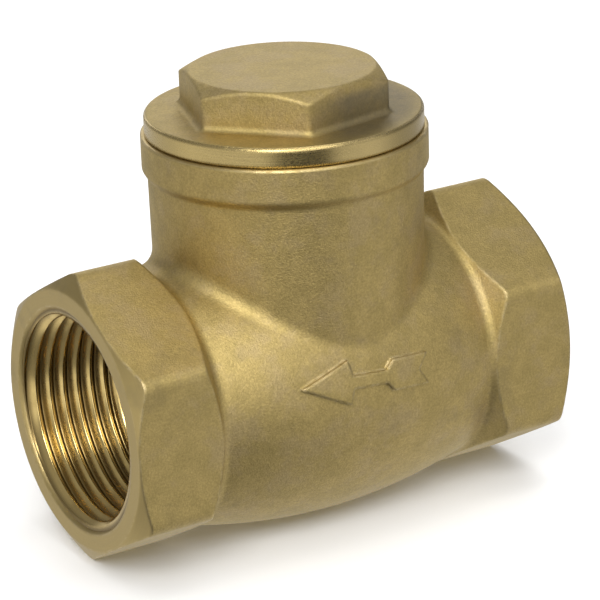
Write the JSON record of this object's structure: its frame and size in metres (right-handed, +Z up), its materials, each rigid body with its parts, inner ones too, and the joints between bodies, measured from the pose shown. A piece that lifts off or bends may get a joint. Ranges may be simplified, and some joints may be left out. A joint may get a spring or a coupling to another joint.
{
  "type": "swing check valve",
  "caption": "Brass swing check valve: barrel-shaped body with hexagon female-threaded ends, upright neck, screwed hexagon cap, and a hinged disc that lets water through one way.",
  "frame": {"origin": "under the crossing of the run axis and the neck axis, on the plane that the hexagon ends stand on", "axes": "+X towards the inlet end, so flow goes from +X to -X; +Z up the neck to the cap; the raised arrow is on the -Y side"},
  "size_m": [0.0756, 0.0456, 0.0693],
  "materials": {
    "cast_brass": "sand-cast and blasted, machined end faces",
    "cast_brass_cap": "sand-cast and blasted, turned flange rim",
    "arm_brass": "cast and blasted, drilled",
    "turned_brass": "turned, fine tool marks",
    "stainless": "drawn wire",
    "nitrile": "moulded, matt",
    "ptfe": "cut from sheet",
    "fibre": "pressed fibre"
  },
  "bodies": {
    "valve_body": {"valve_body": "cast_brass", "hinge_pin": "stainless", "pin_plug": "turned_brass", "pin_plug_washer": "fibre"},
    "cap_gasket": {"cap_gasket": "ptfe"},
    "cap": {"cap": "cast_brass_cap"},
    "hanger": {"disc_hanger": "arm_brass"},
    "disc": {"disc_holder": "turned_brass", "seat_disc": "nitrile", "seat_disc_washer": "turned_brass", "seat_disc_screw": "stainless", "hanger_washer": "turned_brass", "hanger_nut": "turned_brass", "split_pin": "stainless"}
  },
  "joints": [
    {"name": "hanger_swing", "type": "hinge", "parent": "valve_body", "child": "hanger", "pos_m": [0.006, 0, 0.03982], "axis": [0, 1, 0], "range_deg": [0, 64]},
    {"name": "disc_spin", "type": "hinge", "parent": "hanger", "child": "disc", "pos_m": [0.00255, 0, 0.02358], "axis": [-0.9781, 0, 0.2079], "continuous": true},
    {"name": "cap_lift", "type": "slide", "parent": "valve_body", "child": "cap_gasket", "axis": [0, 0, 1], "range_m": [0, 0.009]},
    {"name": "cap_turn", "type": "hinge", "parent": "cap_gasket", "child": "cap", "pos_m": [0, 0, 0.02242], "axis": [0, 0, 1], "range_deg": [0, 2160]}
  ],
  "couplings": [
    {"joint": "cap_lift", "follows": "cap_turn", "m_per_rad": 0.00023873}
  ]
}
